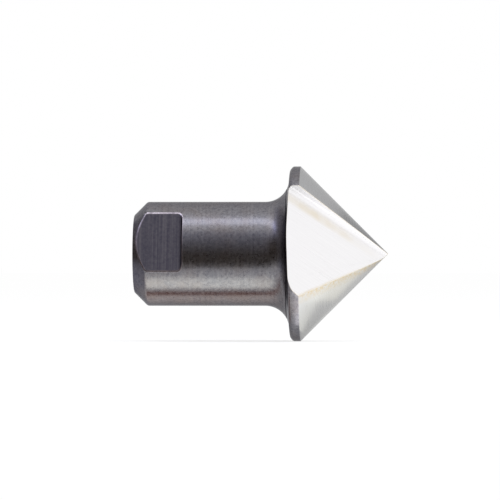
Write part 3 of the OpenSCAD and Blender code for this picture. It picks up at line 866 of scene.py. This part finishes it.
floor_look = add(floor_paper, "ShaderNodeMixShader", {
    0: glow_share.outputs[0], 1: paper.outputs["BSDF"], 2: glow.outputs["Emission"]})
add(floor_paper, "ShaderNodeOutputMaterial", {"Surface": floor_look.outputs["Shader"]})
floor.data.materials.append(floor_paper)
print("floor at", round(cad_box[0].z / MM, 2), "mm")

# %% [markdown]
# ## Card and strip
# Polished metal shows what stands round it, so a photographer shapes the tones with dark and bright panels.
# A grey card stands on the floor round the camera's side and the left. It is darkest at its foot, which runs
# in over the floor, and puts the dark band along the middle of the shank. It leaves the right side open, so
# that the flute looks at white. A narrow brown strip on the floor under the shank is painted shade: it stands
# for the shade under the part, and the metal mirrors it as the thin line low on the shank. Both glow by
# themselves, so that no lamp changes their tone, and only the reflections show them.

# %% Grey card
card_foot = cad_box[0].z + 0.5 * MM
card_height = 0.5
card_front = -0.4
card_inner_shares = (0.1, 0.076, 1)
# Its line runs from the right end of the front round the left corner to the end of the left side.
grey_card = drawn("grey_card", [
    Vector((0.15, card_front, card_foot)), Vector((-0.45, card_front, card_foot)),
    Vector((-0.32, 0.3, card_foot))])
bpy.ops.mesh.select_all(action="SELECT")
bpy.ops.mesh.extrude_region_move(TRANSFORM_OT_translate={"value": (0, 0, card_height)})
select_where(grey_card, "edges", lambda edge: all(v.co.z < card_foot + MERGE for v in edge.verts))
bpy.ops.mesh.extrude_region_move()
bpy.ops.transform.resize(value=card_inner_shares, center_override=(0, 0, 0))
bpy.ops.object.mode_set(mode="OBJECT")
print("card faces:", len(grey_card.data.polygons))

# %% Tones of the grey card
card_paper = empty_finish("grey_card_paper")
place = add(card_paper, "ShaderNodeTexCoord").outputs["Object"]
parts = add(card_paper, "ShaderNodeSeparateXYZ", {"Vector": place}).outputs
fade = add(card_paper, "ShaderNodeMapRange", {"Value": parts["Z"], "From Min": 0, "From Max": card_height})
# The left end of the front, which the neck mirrors, stays dark for half its height.
steep_fade = add(card_paper, "ShaderNodeMapRange", {"Value": parts["Z"], "From Min": 0.24, "From Max": 0.38})
far_left = add(card_paper, "ShaderNodeMapRange", {"Value": parts["X"], "From Min": -0.15, "From Max": -0.3})
far_front = add(card_paper, "ShaderNodeMapRange", {"Value": parts["Y"], "From Min": -0.1, "From Max": -0.22})
steep_share = add(card_paper, "ShaderNodeMath", {
    0: far_left.outputs["Result"], 1: far_front.outputs["Result"]}, operation="MULTIPLY")
fade = add(card_paper, "ShaderNodeMix", {
    MIX_FACTOR: steep_share.outputs[0], MIX_LOW: fade.outputs["Result"],
    MIX_HIGH: steep_fade.outputs["Result"]})
# Left of the shank the foot is lighter near the axis, where the lower half of the chamfer looks at it.
foot_end = -0.034
left_fade = add(card_paper, "ShaderNodeMapRange", {
    "Value": parts["X"], "From Min": -0.15, "From Max": -0.04, "To Min": 0.05, "To Max": 0.85})
beside = add(card_paper, "ShaderNodeMapRange", {"Value": parts["Y"], "From Min": -0.03, "From Max": -0.01})
left_fade = add(card_paper, "ShaderNodeMath", {
    0: left_fade.outputs["Result"], 1: beside.outputs["Result"]}, operation="MULTIPLY")
at_left = add(card_paper, "ShaderNodeMath", {0: parts["X"], 1: foot_end}, operation="LESS_THAN")
left_fade = add(card_paper, "ShaderNodeMath", {
    0: left_fade.outputs[0], 1: at_left.outputs[0]}, operation="MULTIPLY")
fade = add(card_paper, "ShaderNodeMath", {
    0: fade.outputs["Result"], 1: left_fade.outputs[0]}, operation="MAXIMUM")
tone = add(card_paper, "ShaderNodeMix", {
    MIX_FACTOR: fade.outputs[0], MIX_A: linear("#51483f"), MIX_B: linear("#d0d2e2")}, data_type="RGBA")
shader = add(card_paper, "ShaderNodeEmission", {"Color": tone.outputs[MIX_OUT], "Strength": 1})
add(card_paper, "ShaderNodeOutputMaterial", {"Surface": shader.outputs["Emission"]})
grey_card.data.materials.append(card_paper)
print("finish:", card_paper.name)

# %% Brown strip of painted shade
# The strip is painted shade: a fixed dark brown glow on the floor under the shank, where the part's shade
# falls, which the metal mirrors as the thin line low on the shank.
strip_middle = (-0.013, -0.005, card_foot)
strip_size = (0.025, 0.0026, 1)
shade_strip_glow = empty_finish("brown_card_paper")
shader = add(shade_strip_glow, "ShaderNodeEmission", {"Color": linear("#96503f"), "Strength": 1})
add(shade_strip_glow, "ShaderNodeOutputMaterial", {"Surface": shader.outputs["Emission"]})
bpy.ops.object.select_all(action="DESELECT")
bpy.ops.mesh.primitive_plane_add(size=1, location=strip_middle)
brown_strip = bpy.context.object
brown_strip.name = "brown_strip"
brown_strip.scale = strip_size
brown_strip.data.materials.append(shade_strip_glow)
for panel in (grey_card, brown_strip):
    for sight in ("camera", "diffuse", "shadow", "transmission", "volume_scatter"):
        setattr(panel, "visible_" + sight, False)
    print(panel.name, "stands for the metal alone")

# %% [markdown]
# ## Lamps
# The lamps are soft and none of them shows to the camera. A softbox on the right fills the flute's floor, one
# overhead draws the upper line on the shank, and a small one on the left lights the neck. The other lamps are
# trays that lie on the floor and shine straight up. They light the lower side of the shank, the flute's wall
# and the lower side of the cone. A grid on some of them keeps their light from spreading sideways. Lamps at
# one height would hide each other, so the tray that lies over a larger one is lifted a little.

# %% Softboxes
NO_GRID = 180


def soft_lamp(name, colour, place, aim, size, radiance, grid):
    """Adds a soft lamp; the floor's radiance is about 1, and the grid leaves an angle in degrees open."""
    way = Vector(aim) - Vector(place)
    bpy.ops.object.select_all(action="DESELECT")
    bpy.ops.object.light_add(type="AREA", location=place, rotation=way.to_track_quat("-Z", "Y").to_euler())
    lamp = bpy.context.object
    lamp.name = name
    lamp.data.color = linear(colour)[:3]
    lamp.data.shape = "RECTANGLE"
    lamp.data.size, lamp.data.size_y = size
    lamp.data.energy = radiance * math.pi * size[0] * size[1]
    lamp.data.spread = math.radians(grid)
    lamp.visible_camera = False
    print(name, "gives", round(lamp.data.energy, 4), "W")


for name, colour, place, aim, size, radiance in [
    ("right_softbox", "#ffffff", (0.50, -0.14, 0.21), (0.01, 0, 0), (0.6, 0.5), 0.95),
    ("overhead_softbox", "#e9eeff", (-0.05, -0.118, 0.48), (-0.05, 0, 0), (0.8, 0.14), 2.2),
    ("neck_softbox", "#ccd2ff", (-0.35, -0.09, 0.335), (0, 0, 0), (0.09, 0.16), 2.6),
]:
    soft_lamp(name, colour, place, aim, size, radiance, NO_GRID)

# %% Trays on the floor
tray_z = cad_box[0].z + 0.1 * MM
lifted_z = tray_z + 0.1 * MM
for name, colour, (x, y, z), size, radiance, grid in [
    ("shank_tray", "#fbfff0", (-0.0225, -0.0127, tray_z), (0.045, 0.0082), 0.68, 110),
    ("back_tray", "#ffe6d0", (-0.0225, 0.0025, tray_z), (0.045, 0.012), 0.3, 110),
    ("flute_tray", "#ffffff", (0.1276, -0.1043, tray_z), (0.2448, 0.1915), 1.0, NO_GRID),
    ("corner_tray", "#ffffff", (0.0182, -0.0193, lifted_z), (0.026, 0.0215), 0.25, 100),
    ("heel_tray", "#fffff0", (0.0135, -0.0058, tray_z), (0.011, 0.0055), 0.68, NO_GRID),
    ("wall_tray", "#fffff0", (0.047, -0.0058, tray_z), (0.056, 0.0055), 1.1, NO_GRID),
    ("near_tray", "#fffff0", (0.0135, 0.0025, tray_z), (0.013, 0.011), 0.12, NO_GRID),
    ("land_tray", "#fffbe2", (0.0475, 0.0025, tray_z), (0.055, 0.011), 0.75, NO_GRID),
    ("far_tray", "#fffff0", (0.0435, 0.0435, tray_z), (0.073, 0.071), 0.2, NO_GRID),
]:
    soft_lamp(name, colour, (x, y, z), (x, y, 1), size, radiance, grid)

# %% [markdown]
# ## The camera
# The photograph looks square at the side of the part from far away, turned a little towards the tip. A long
# lens from one metre gives the same flat perspective.

# %% Camera
view_distance = 1.0
azimuth = math.radians(2.5)
look_at = Vector((-3.38 * MM, 0, 0.7 * MM))
bpy.ops.object.select_all(action="DESELECT")
bpy.ops.object.camera_add(
    location=look_at + view_distance * Vector((math.sin(azimuth), -math.cos(azimuth), 0)),
    rotation=(math.radians(90), 0, azimuth))
camera = bpy.context.object
camera.data.sensor_width = 36
camera.data.lens = 393
scene.camera = camera
print("camera at", [round(c, 3) for c in camera.location])
